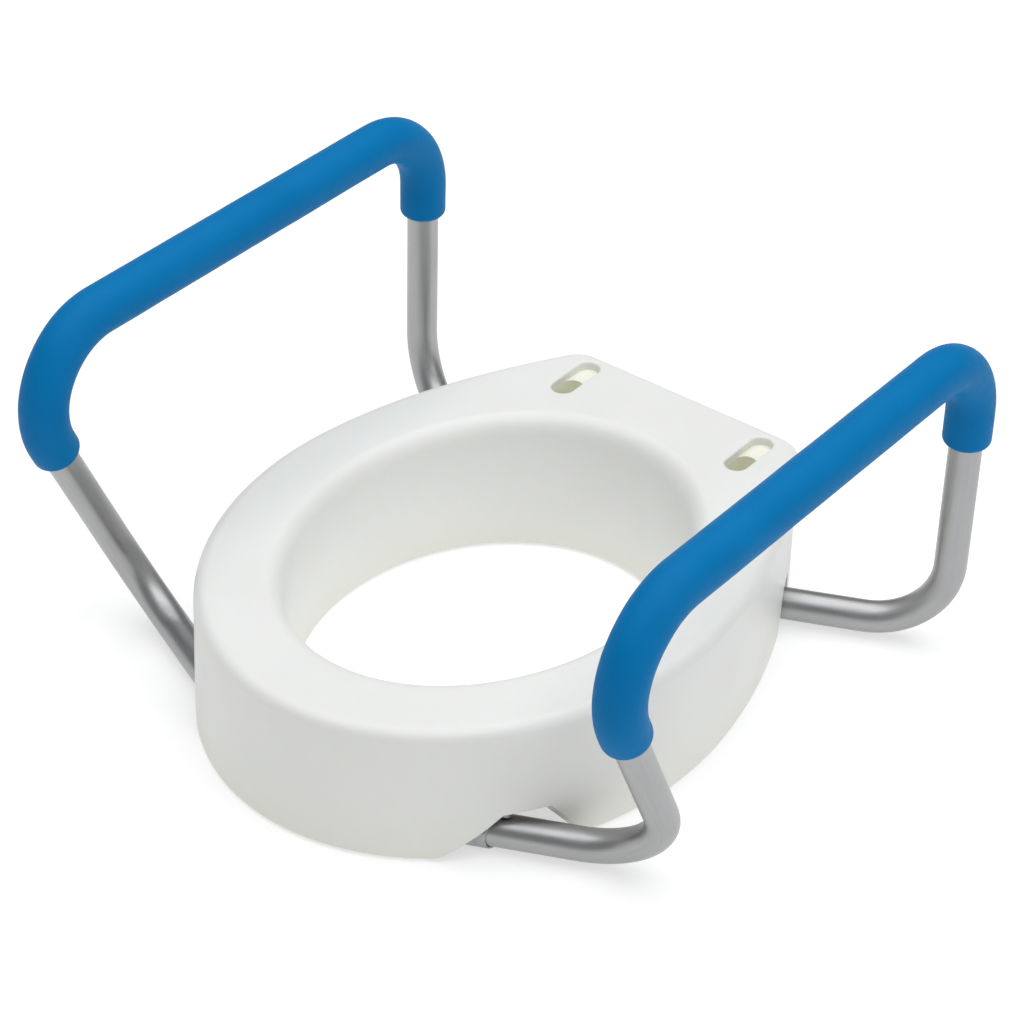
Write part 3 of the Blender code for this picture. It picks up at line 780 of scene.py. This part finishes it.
def rib_webs():
    """Upright webs between the two walls, kept inside the walls' thickness."""
    near, far = 0.095, 0.260
    webs = []
    for angle in RIB_ANGLES:
        half = RIB_THICKNESS / 2
        web = prism([(near, -half), (far, -half), (far, half), (near, half)], RIB_BASE_Z, SEAT_TOP)
        web.transform(
            Matrix.Translation(HOLE_CENTRE.to_3d()) @ Matrix.Rotation(math.radians(angle), 4, "Z")
        )
        webs.append(web)
    holder = new_object("rib_webs", joined("rib_webs", webs))
    outline = seat_outline()
    rings = [
        skin_line(point, normal, WALL / 2) for point, normal in zip(outline, inward_normals(outline))
    ]
    combine(holder, "INTERSECT", [loft("rib_limit", rings, closed=True)])
    mesh = holder.data
    bpy.data.objects.remove(holder)
    return mesh


def slot_cut():
    """One stepped slot's cuts: a pocket with a rounded lip, its deeper front part, and the bolt's slot."""
    lip_steps = 6
    rings = []
    for step in range(lip_steps + 1):
        angle = math.pi / 2 * step / lip_steps
        grow = 2 * SLOT_LIP * (1 - math.cos(angle))
        z = SEAT_TOP - SLOT_LIP * (1 - math.sin(angle))
        rings.append([(x, y, z) for x, y in stadium(SLOT_LENGTH + grow, SLOT_WIDTH + grow)])
    top = [(x, y, SEAT_TOP + PAST_END) for x, y, _ in rings[-1]]
    floor = [(x, y, SEAT_TOP - SLOT_LEDGE_DEPTH) for x, y, _ in rings[0]]
    pocket = loft("pocket", [floor, *rings, top])
    deep_length = SLOT_DEEP_SHARE * SLOT_LENGTH
    forward = (SLOT_LENGTH - deep_length) / 2
    narrower, overlap = 0.0004, 0.001
    deep = prism(
        [(x, y - forward) for x, y in stadium(deep_length, SLOT_WIDTH - narrower)],
        SEAT_TOP - SLOT_WELL_DEPTH, SEAT_TOP - SLOT_LEDGE_DEPTH + overlap,
    )
    bolt = prism(
        [(x, y - forward) for x, y in stadium(deep_length - BOLT_SLOT_SHORTER, BOLT_SLOT_WIDTH)],
        SEAT_TOP - 2 * SLOT_WELL_DEPTH, SEAT_TOP - SLOT_LEDGE_DEPTH + 2 * overlap,
    )
    return [pocket, deep, bolt]


def notch_cut(socket):
    """The slope-sided gap in the seat's wall that the arm's tube leaves through.

    Its inner and outer ends are measured along the socket from its mouth.
    """
    inner, outer, low = -0.040, 0.060, -PAST_END
    widen = (NOTCH_BASE_HALF_WIDTH - NOTCH_TOP_HALF_WIDTH) / NOTCH_HEIGHT
    base = NOTCH_BASE_HALF_WIDTH - widen * low
    top = NOTCH_TOP_HALF_WIDTH
    outline = [(-base, low), (base, low), (top, NOTCH_HEIGHT), (-top, NOTCH_HEIGHT)]
    mesh = loft("notch", [[(x, y, z) for y, z in outline] for x in (inner, outer)])
    mesh.transform(socket.frame(0.0, SEAT_BASE))
    return mesh


def make_seat():
    shell = new_object("seat_shell_detailed", seat_skin())
    bosses = [
        cylinder(s.point(a, b, PLATE_TOP + CLEARANCE), s.point(a, b, SEAT_TOP - WALL / 2), BOSS_RADIUS)
        for s in SOCKETS for a, b in s.screws
    ]
    pad_top = SEAT_BASE + FOOT_BOSS_HEIGHT
    feet = [foot_place(name) for name in FEET]
    pads = [
        cylinder(Vector((x, y, SEAT_BASE)), Vector((x, y, pad_top)), FOOT_BOSS_RADIUS, 40)
        for x, y in feet
    ]
    well_outline = stadium(SLOT_LENGTH + 2 * SLOT_WELL_WALL, SLOT_WIDTH + 2 * SLOT_WELL_WALL)
    well_top = SEAT_TOP - 0.001
    wells, slots = [], []
    for side in (1, -1):
        shift = Matrix.Translation((side * SLOT_X, SLOT_Y, 0))
        well = prism(well_outline, well_top - SLOT_WELL_DEPTH - SLOT_WELL_WALL, well_top)
        well.transform(shift)
        wells.append(well)
        for cut in slot_cut():
            cut.transform(shift)
            slots.append(cut)
    combine(shell, "UNION", [
        rib_webs(), joined("bosses", bosses), joined("pads", pads), joined("wells", wells),
    ])

    pilots = [
        cylinder(
            s.point(a, b, PLATE_TOP - PAST_END), s.point(a, b, PLATE_TOP + SCREW_LENGTH + PAST_END),
            SCREW_RADIUS + CLEARANCE, 20,
        )
        for s in SOCKETS for a, b in s.screws
    ]
    stems = [
        cylinder(Vector((x, y, 0)), Vector((x, y, pad_top - PAST_END)), FOOT_STEM_RADIUS + CLEARANCE, 20)
        for x, y in feet
    ]
    combine(shell, "DIFFERENCE", [*slots, joined("holes", pilots + stems), *map(notch_cut, SOCKETS)])
    stand_in(shell, "seat_shell", "white_plastic", SEAT_PLASTIC, SLOT_SHADED_PLASTIC)
    paint_slot_shade(shell.data)


def paint_slot_shade(mesh):
    """Gives the slots' inner faces their own material, whose cream colour is painted shade, and leaves out
    the wells' outer faces round them.
    """
    lip, under_floor, level, upward = SLOT_LIP + 0.0002, 0.0005, 0.000001, 0.3
    for face in mesh.polygons:
        x, y, z = face.center
        from_middle = (abs(x) - SLOT_X) * math.copysign(1, x)
        inside = (
            abs(from_middle) < SLOT_WIDTH / 2 + lip
            and abs(y - SLOT_Y) < SLOT_LENGTH / 2 + lip
            and SLOT_SHADE_TOP > z > SEAT_TOP - SLOT_WELL_DEPTH - under_floor
        )
        facing_in = from_middle * face.normal.x <= level
        if inside and (facing_in or face.normal.z > upward):
            face.material_index = 1


# ---------------------------------------------------------------- small parts

def make_socket(socket):
    """A steel sleeve cut off square to the seat, with a mounting plate welded along its top."""
    sides, bevel = 64, 0.0003
    frame_here = socket.frame()
    mouth_slope = socket.along.y / socket.along.x

    def ring(along, radius, slanted):
        made = []
        for point in circle(radius, sides):
            forward = slanted * mouth_slope * point.x
            made.append(frame_here @ Vector((along + forward, point.x, point.y)))
        return made

    inner, middle = -SOCKET_LENGTH, -0.03
    stations = [
        (inner, SOCKET_BORE + bevel, 0), (inner, SOCKET_RADIUS - bevel, 0),
        (inner + bevel, SOCKET_RADIUS, 0), (middle, SOCKET_RADIUS, 0),
        (-bevel, SOCKET_RADIUS, 1), (0, SOCKET_RADIUS - bevel, 1),
        (0, SOCKET_BORE + bevel, 1), (-bevel, SOCKET_BORE, 1),
        (middle, SOCKET_BORE, 0), (inner + bevel, SOCKET_BORE, 0),
    ]
    rings = [ring(*station) for station in stations]
    name = f"{socket.name}_socket"
    obj = new_object(f"{name}_detailed", loft(name, rings, closed=True))

    outline = [(along, socket.side * across) for along, across in socket.plate]
    plate = prism(rounded(outline, PLATE_CORNER), PLATE_BOTTOM, PLATE_TOP)
    plate.transform(socket.frame(0.0, 0.0))
    combine(obj, "UNION", [plate])

    holes = [
        cylinder(
            socket.point(a, b, PLATE_BOTTOM - PAST_END), socket.point(a, b, PLATE_TOP + PAST_END),
            SCREW_RADIUS + CLEARANCE, 24,
        )
        for a, b in socket.screws
    ]
    centre = socket.point(-CLAMP_INSET)
    outside = centre + socket.clamp_direction * (SOCKET_RADIUS + PAST_END)
    holes.append(cylinder(centre, outside, CLAMP_SCREW_RADIUS + CLEARANCE))
    combine(obj, "DIFFERENCE", holes)
    stand_in(obj, name, "socket_steel", SOCKET_STEEL)


def make_screw(socket, number, along, across):
    """A pan-head screw that points up, with a cross recess in its head."""
    head, shank, height = SCREW_HEAD_RADIUS, SCREW_RADIUS, SCREW_HEAD_HEIGHT
    rim_share, crown_steps = 0.30, 10
    crown = [
        (head * math.cos(a), -height * (rim_share + (1 - rim_share) * math.sin(a)))
        for a in (math.pi / 2 * step / crown_steps for step in range(crown_steps))
    ]
    pitch, depth, thread_top, neck = 0.0013, 0.0002, SCREW_LENGTH - 0.003, 0.0004
    thread = []
    for turn in range(int(thread_top / pitch)):
        z = thread_top - turn * pitch
        thread += [(shank, z), (shank - depth, z - pitch / 2)]
    profile = [
        (FINE_PIN_RADIUS, SCREW_LENGTH), *thread, (shank - depth, neck), (shank, 0),
        (head, 0), *crown[:-1], (FINE_PIN_RADIUS, -height),
    ]
    name = f"{socket.name}_screw_{number}"
    obj = new_object(f"{name}_detailed", turned(name, profile, 32))
    blade, reach, recess = 0.00045, 0.0019, 0.0013
    for long_x in (True, False):
        size_x, size_y = (reach, blade) if long_x else (blade, reach)
        outline = [(-size_x, -size_y), (size_x, -size_y), (size_x, size_y), (-size_x, size_y)]
        combine(obj, "DIFFERENCE", [prism(outline, -height - PAST_END / 2, -height + recess)])
    first_turn, turn_between = 17, 31
    spin = Matrix.Rotation(math.radians(first_turn + turn_between * number), 4, "Z")
    obj.data.transform(Matrix.Translation(socket.point(along, across, PLATE_BOTTOM - CLEARANCE)) @ spin)
    stand_in(obj, name, "screw_steel", SCREW_STEEL)


def make_foot(name):
    """A rubber foot: a grooved disc under the seat's pad, with a stem pressed into it."""
    x, y = foot_place(name)
    top = SEAT_BASE - CLEARANCE
    stem_top = SEAT_BASE + FOOT_BOSS_HEIGHT - 0.004
    edge, bevel, stem_bevel, stem_taper = 0.0006, 0.0003, 0.0006, 0.001
    side = arc((FOOT_RADIUS - edge, edge), edge, 0, -90, 5)
    mouth, floor, depth = 0.0005, 0.0002, 0.0005
    grooves = []
    for radius in (0.0066, 0.0040):
        grooves += [
            (radius + mouth, 0), (radius + floor, depth), (radius - floor, depth), (radius - mouth, 0),
        ]
    profile = [
        (PIN_RADIUS, stem_top), (FOOT_STEM_RADIUS - stem_bevel, stem_top),
        (FOOT_STEM_RADIUS, stem_top - stem_taper), (FOOT_STEM_RADIUS, top),
        (FOOT_RADIUS - bevel, top), (FOOT_RADIUS, top - bevel), *side, *grooves, (PIN_RADIUS, 0),
    ]
    node = f"{name}_foot"
    obj = new_object(f"{node}_detailed", turned(node, profile, 64))
    obj.data.transform(Matrix.Translation((x, y, 0)))
    stand_in(obj, node, "grey_rubber", GREY_RUBBER)


def make_end_plug(socket):
    """A ribbed cap pressed into the arm's inner end."""
    core = TUBE_RADIUS - TUBE_WALL - 2 * CLEARANCE
    flange = TUBE_RADIUS - CLEARANCE
    length, nose, edge = 0.008, 0.0012, 0.0008
    face, dish_floor = -0.003, -0.0023
    dish_mouth_radius, dish_floor_radius = 0.0060, 0.0055
    rib_height, above, below = 0.0004, 0.0008, 0.0006
    root = core - rib_height
    ribs = []
    for height in (0.0062, 0.0040, 0.0018):
        ribs += [(root, height + above), (core, height), (root, height - below)]
    profile = [
        (PIN_RADIUS, length), (core - nose, length), *ribs, (root, -CLEARANCE), (flange, -CLEARANCE),
        *arc((flange - edge, face + edge), edge, 0, -90, 5),
        (dish_mouth_radius, face), (dish_floor_radius, dish_floor), (PIN_RADIUS, dish_floor),
    ]
    name = f"{socket.name}_end_plug"
    obj = new_object(f"{name}_detailed", turned(name, profile, 56))
    outward = socket.along.to_track_quat("Z", "Y").to_matrix().to_4x4()
    obj.data.transform(Matrix.Translation(socket.point(-ARM_INSERTION)) @ outward)
    stand_in(obj, name, "grey_plastic", GREY_PLASTIC)


def make_clamp_nut(socket):
    """A hexagon nut with chamfered corners, on the socket's side."""
    half_side = math.pi / 6
    apothem = CLAMP_NUT_RADIUS * math.cos(half_side)
    chamfer, bore, sides = 0.0005, CLAMP_SCREW_RADIUS + CLEARANCE, 48

    def hexagon(limit, z):
        ring = []
        for step in range(sides):
            angle = TURN * step / sides
            from_corner = (angle + half_side) % (2 * half_side) - half_side
            from_flat = from_corner - math.copysign(half_side, from_corner)
            radius = min(apothem / math.cos(from_flat), limit)
            ring.append(Vector((radius * math.cos(angle), radius * math.sin(angle), z)))
        return ring

    start, end = CLAMP_NUT_START, CLAMP_NUT_END
    rings = [
        hexagon(apothem, start), hexagon(CLAMP_NUT_RADIUS, start + chamfer),
        hexagon(CLAMP_NUT_RADIUS, end - chamfer), hexagon(apothem, end),
        round_ring(bore + chamfer, end, sides), round_ring(bore, end - chamfer, sides),
        round_ring(bore, start + chamfer, sides), round_ring(bore + chamfer, start, sides),
    ]
    name = f"{socket.name}_clamp_nut"
    obj = new_object(f"{name}_detailed", loft(name, rings, closed=True))
    obj.data.transform(clamp_frame(socket))
    stand_in(obj, name, "screw_steel", SCREW_STEEL)


def make_clamp_screw(socket):
    """The threaded screw whose round tip bears on the arm's tube."""
    radius, tip, end = CLAMP_SCREW_RADIUS, CLAMP_SCREW_TIP, CLAMP_SCREW_END
    pitch, depth, plain_tip, crest = 0.001, 0.0003, 0.0016, 0.1
    thread = []
    for turn in range(int((end - tip - plain_tip) / pitch)):
        z = end - turn * pitch
        thread += [
            (radius, z - crest * pitch), (radius - depth, z - pitch / 2), (radius, z - (1 - crest) * pitch),
        ]
    tip_steps = 9
    point = [
        (radius * math.cos(a), tip + plain_tip * (1 - math.sin(a)))
        for a in (math.pi / 2 * step / tip_steps for step in range(1, tip_steps))
    ]
    profile = [
        (FINE_PIN_RADIUS, end), (radius, end), *thread, (radius, tip + plain_tip), *point,
        (FINE_PIN_RADIUS, tip),
    ]
    name = f"{socket.name}_clamp_screw"
    obj = new_object(f"{name}_detailed", turned(name, profile, 40))
    obj.data.transform(clamp_frame(socket))
    stand_in(obj, name, "screw_steel", SCREW_STEEL)


def make_clamp_knob(socket):
    """The lobed hand knob with rounded edges, moulded on the clamp screw's outer end."""
    sides, edge, edge_steps = 12 * KNOB_LOBES, 0.0014, 5
    hole = CLAMP_SCREW_RADIUS + CLEARANCE
    hole_end = CLAMP_SCREW_END + CLEARANCE

    def lobed(inset, z):
        ring = []
        for step in range(sides):
            angle = TURN * step / sides
            radius = KNOB_RADIUS - inset + KNOB_LOBE_DEPTH * math.cos(KNOB_LOBES * angle)
            ring.append(Vector((radius * math.cos(angle), radius * math.sin(angle), z)))
        return ring

    turns = [math.pi / 2 * step / edge_steps for step in range(edge_steps + 1)]
    rings = [
        round_ring(PIN_RADIUS, hole_end, sides), round_ring(hole, hole_end, sides),
        round_ring(hole, KNOB_START, sides),
    ]
    rings += [lobed(edge * (1 - math.sin(a)), KNOB_START + edge * (1 - math.cos(a))) for a in turns]
    rings += [lobed(edge * (1 - math.cos(a)), KNOB_END - edge * (1 - math.sin(a))) for a in turns]
    dish_mouth_radius, dish_floor_radius, dish_floor = 0.0055, 0.0050, KNOB_END - 0.0006
    rings += [
        round_ring(dish_mouth_radius, KNOB_END, sides), round_ring(dish_floor_radius, dish_floor, sides),
        round_ring(PIN_RADIUS, dish_floor, sides),
    ]
    name = f"{socket.name}_clamp_knob"
    obj = new_object(f"{name}_detailed", loft(name, rings))
    obj.data.transform(clamp_frame(socket))
    stand_in(obj, name, "grey_plastic", GREY_PLASTIC)


# ---------------------------------------------------------------- arms

def make_arm(label, side):
    """The bent tube, with eased edges at its two ends."""
    rear = next(s for s in SOCKETS if s.side == side and s.end < 0)
    front = next(s for s in SOCKETS if s.side == side and s.end > 0)
    ends = [rear.point(-ARM_INSERTION), *arm_corners(side), front.point(-ARM_INSERTION)]
    route = Route(ends, BEND_RADIUS)
    bevel, spacing = 0.0002, 0.004
    outside = [(0.0, TUBE_RADIUS - bevel)]
    outside += [(distance, TUBE_RADIUS) for distance in spaced(bevel, route.length - bevel, spacing)]
    outside.append((route.length, TUBE_RADIUS - bevel))
    name = f"{label}_arm_tube"
    tube = new_object(f"{name}_detailed", sleeve(name, route, outside, TUBE_RADIUS - TUBE_WALL, 48))
    stand_in(tube, name, "aluminium", ALUMINIUM)


def at_height(foot, top, z):
    return foot.lerp(top, (z - foot.z) / (top.z - foot.z))


def make_grip(label, side):
    """The foam sleeve, with rounded ends and a slightly uneven skin."""
    corners = arm_corners(side)
    rear_end = at_height(corners[0], corners[1], REAR_GRIP_END_Z)
    front_end = at_height(corners[3], corners[2], FRONT_GRIP_END_Z)
    route = Route([rear_end, corners[1], corners[2], front_end], BEND_RADIUS)
    shoulder, steps = GRIP_SHOULDER, 9
    round_end = [
        (shoulder * (1 - math.cos(a)), GRIP_RADIUS - shoulder * (1 - math.sin(a)))
        for a in (math.pi / 2 * step / steps for step in range(steps + 1))
    ]
    spacing = 0.004
    between = spaced(shoulder, route.length - shoulder, spacing)[1:-1]
    outside = list(round_end)
    outside += [(distance, GRIP_RADIUS) for distance in between]
    outside += [(route.length - distance, radius) for distance, radius in reversed(round_end)]

    def ripple(place):
        fine, broad = noise.noise(place * 55), noise.noise(place * 17)
        return 0.00010 * fine + 0.00014 * broad

    name = f"{label}_grip"
    grip = new_object(f"{name}_detailed", sleeve(name, route, outside, GRIP_BORE, 72, ripple))
    stand_in(grip, name, "blue_foam", BLUE_FOAM)


# ---------------------------------------------------------------- light, floor and camera

def make_floor():
    """A plain pale floor with a little light of its own, so that shadows on it stay faint."""
    work = bmesh.new()
    bmesh.ops.create_grid(work, x_segments=12, y_segments=12, size=FLOOR_REACH)
    floor = new_object("floor", finished_mesh("floor", work))
    finish = Finish(
        "pale_floor", Specular_IOR_Level=0.1, Emission_Color=rgb(1, 1, 1), Emission_Strength=FLOOR_GLOW
    )
    finish.drive("Base Color", finish.mixed(
        finish.noise(3.0, 2.0), rgb(0.53, 0.53, 0.53), rgb(0.55, 0.55, 0.55)
    ))
    finish.drive("Roughness", finish.ranged(finish.noise(20.0, 2.0), 0.7, 0.8))
    floor.data.materials.append(finish.material)


def soft_light(name, place, size, power):
    """A square light of the given size in metres and power in watts, turned towards the seat."""
    light = bpy.data.lights.new(name, "AREA")
    light.shape = "SQUARE"
    light.size = size
    light.energy = power
    holder = bpy.data.objects.new(name, light)
    bpy.context.scene.collection.objects.link(holder)
    holder.location = place
    holder.rotation_mode = "QUATERNION"
    holder.rotation_quaternion = (LIGHT_AIM - Vector(place)).to_track_quat("-Z", "Y")


def make_world():
    world = bpy.data.worlds.new("studio")
    world.use_nodes = True
    background = world.node_tree.nodes["Background"]
    background.inputs["Color"].default_value = rgb(0.97, 0.985, 1.0)
    background.inputs["Strength"].default_value = WORLD_STRENGTH
    bpy.context.scene.world = world


def make_camera():
    azimuth, elevation = math.radians(CAMERA_AZIMUTH), math.radians(CAMERA_ELEVATION)
    roll = math.radians(CAMERA_ROLL)
    back = Vector((
        math.sin(azimuth) * math.cos(elevation),
        -math.cos(azimuth) * math.cos(elevation),
        math.sin(elevation),
    ))
    level = Vector((math.cos(azimuth), math.sin(azimuth), 0))
    upright = back.cross(level)
    right = level * math.cos(roll) + upright * math.sin(roll)
    up = upright * math.cos(roll) - level * math.sin(roll)
    data = bpy.data.cameras.new("camera")
    data.sensor_width = SENSOR_WIDTH_MM
    data.lens = LENS_MM
    data.clip_start, data.clip_end = 0.05, 50.0
    camera = bpy.data.objects.new("camera", data)
    bpy.context.scene.collection.objects.link(camera)
    turn = Matrix((right, up, back)).transposed().to_4x4()
    camera.matrix_world = Matrix.Translation(CAMERA_AIM + back * CAMERA_DISTANCE) @ turn
    bpy.context.scene.camera = camera


# ---------------------------------------------------------------- assembly

def main():
    make_camera()
    make_world()
    make_floor()
    soft_light("overhead", (0.0, 0.1, 2.6), 3.6, 79.0)
    soft_light("right_side", (2.6, 0.2, 1.4), 1.4, 11.0)
    make_seat()
    for name in FEET:
        make_foot(name)
    for socket in SOCKETS:
        make_socket(socket)
        for number, (along, across) in enumerate(socket.screws, start=1):
            make_screw(socket, number, along, across)
        make_end_plug(socket)
        make_clamp_nut(socket)
        make_clamp_screw(socket)
        make_clamp_knob(socket)
    for label, side in (("right", 1), ("left", -1)):
        make_arm(label, side)
        make_grip(label, side)
    bpy.context.scene.view_settings.view_transform = "Standard"


main()
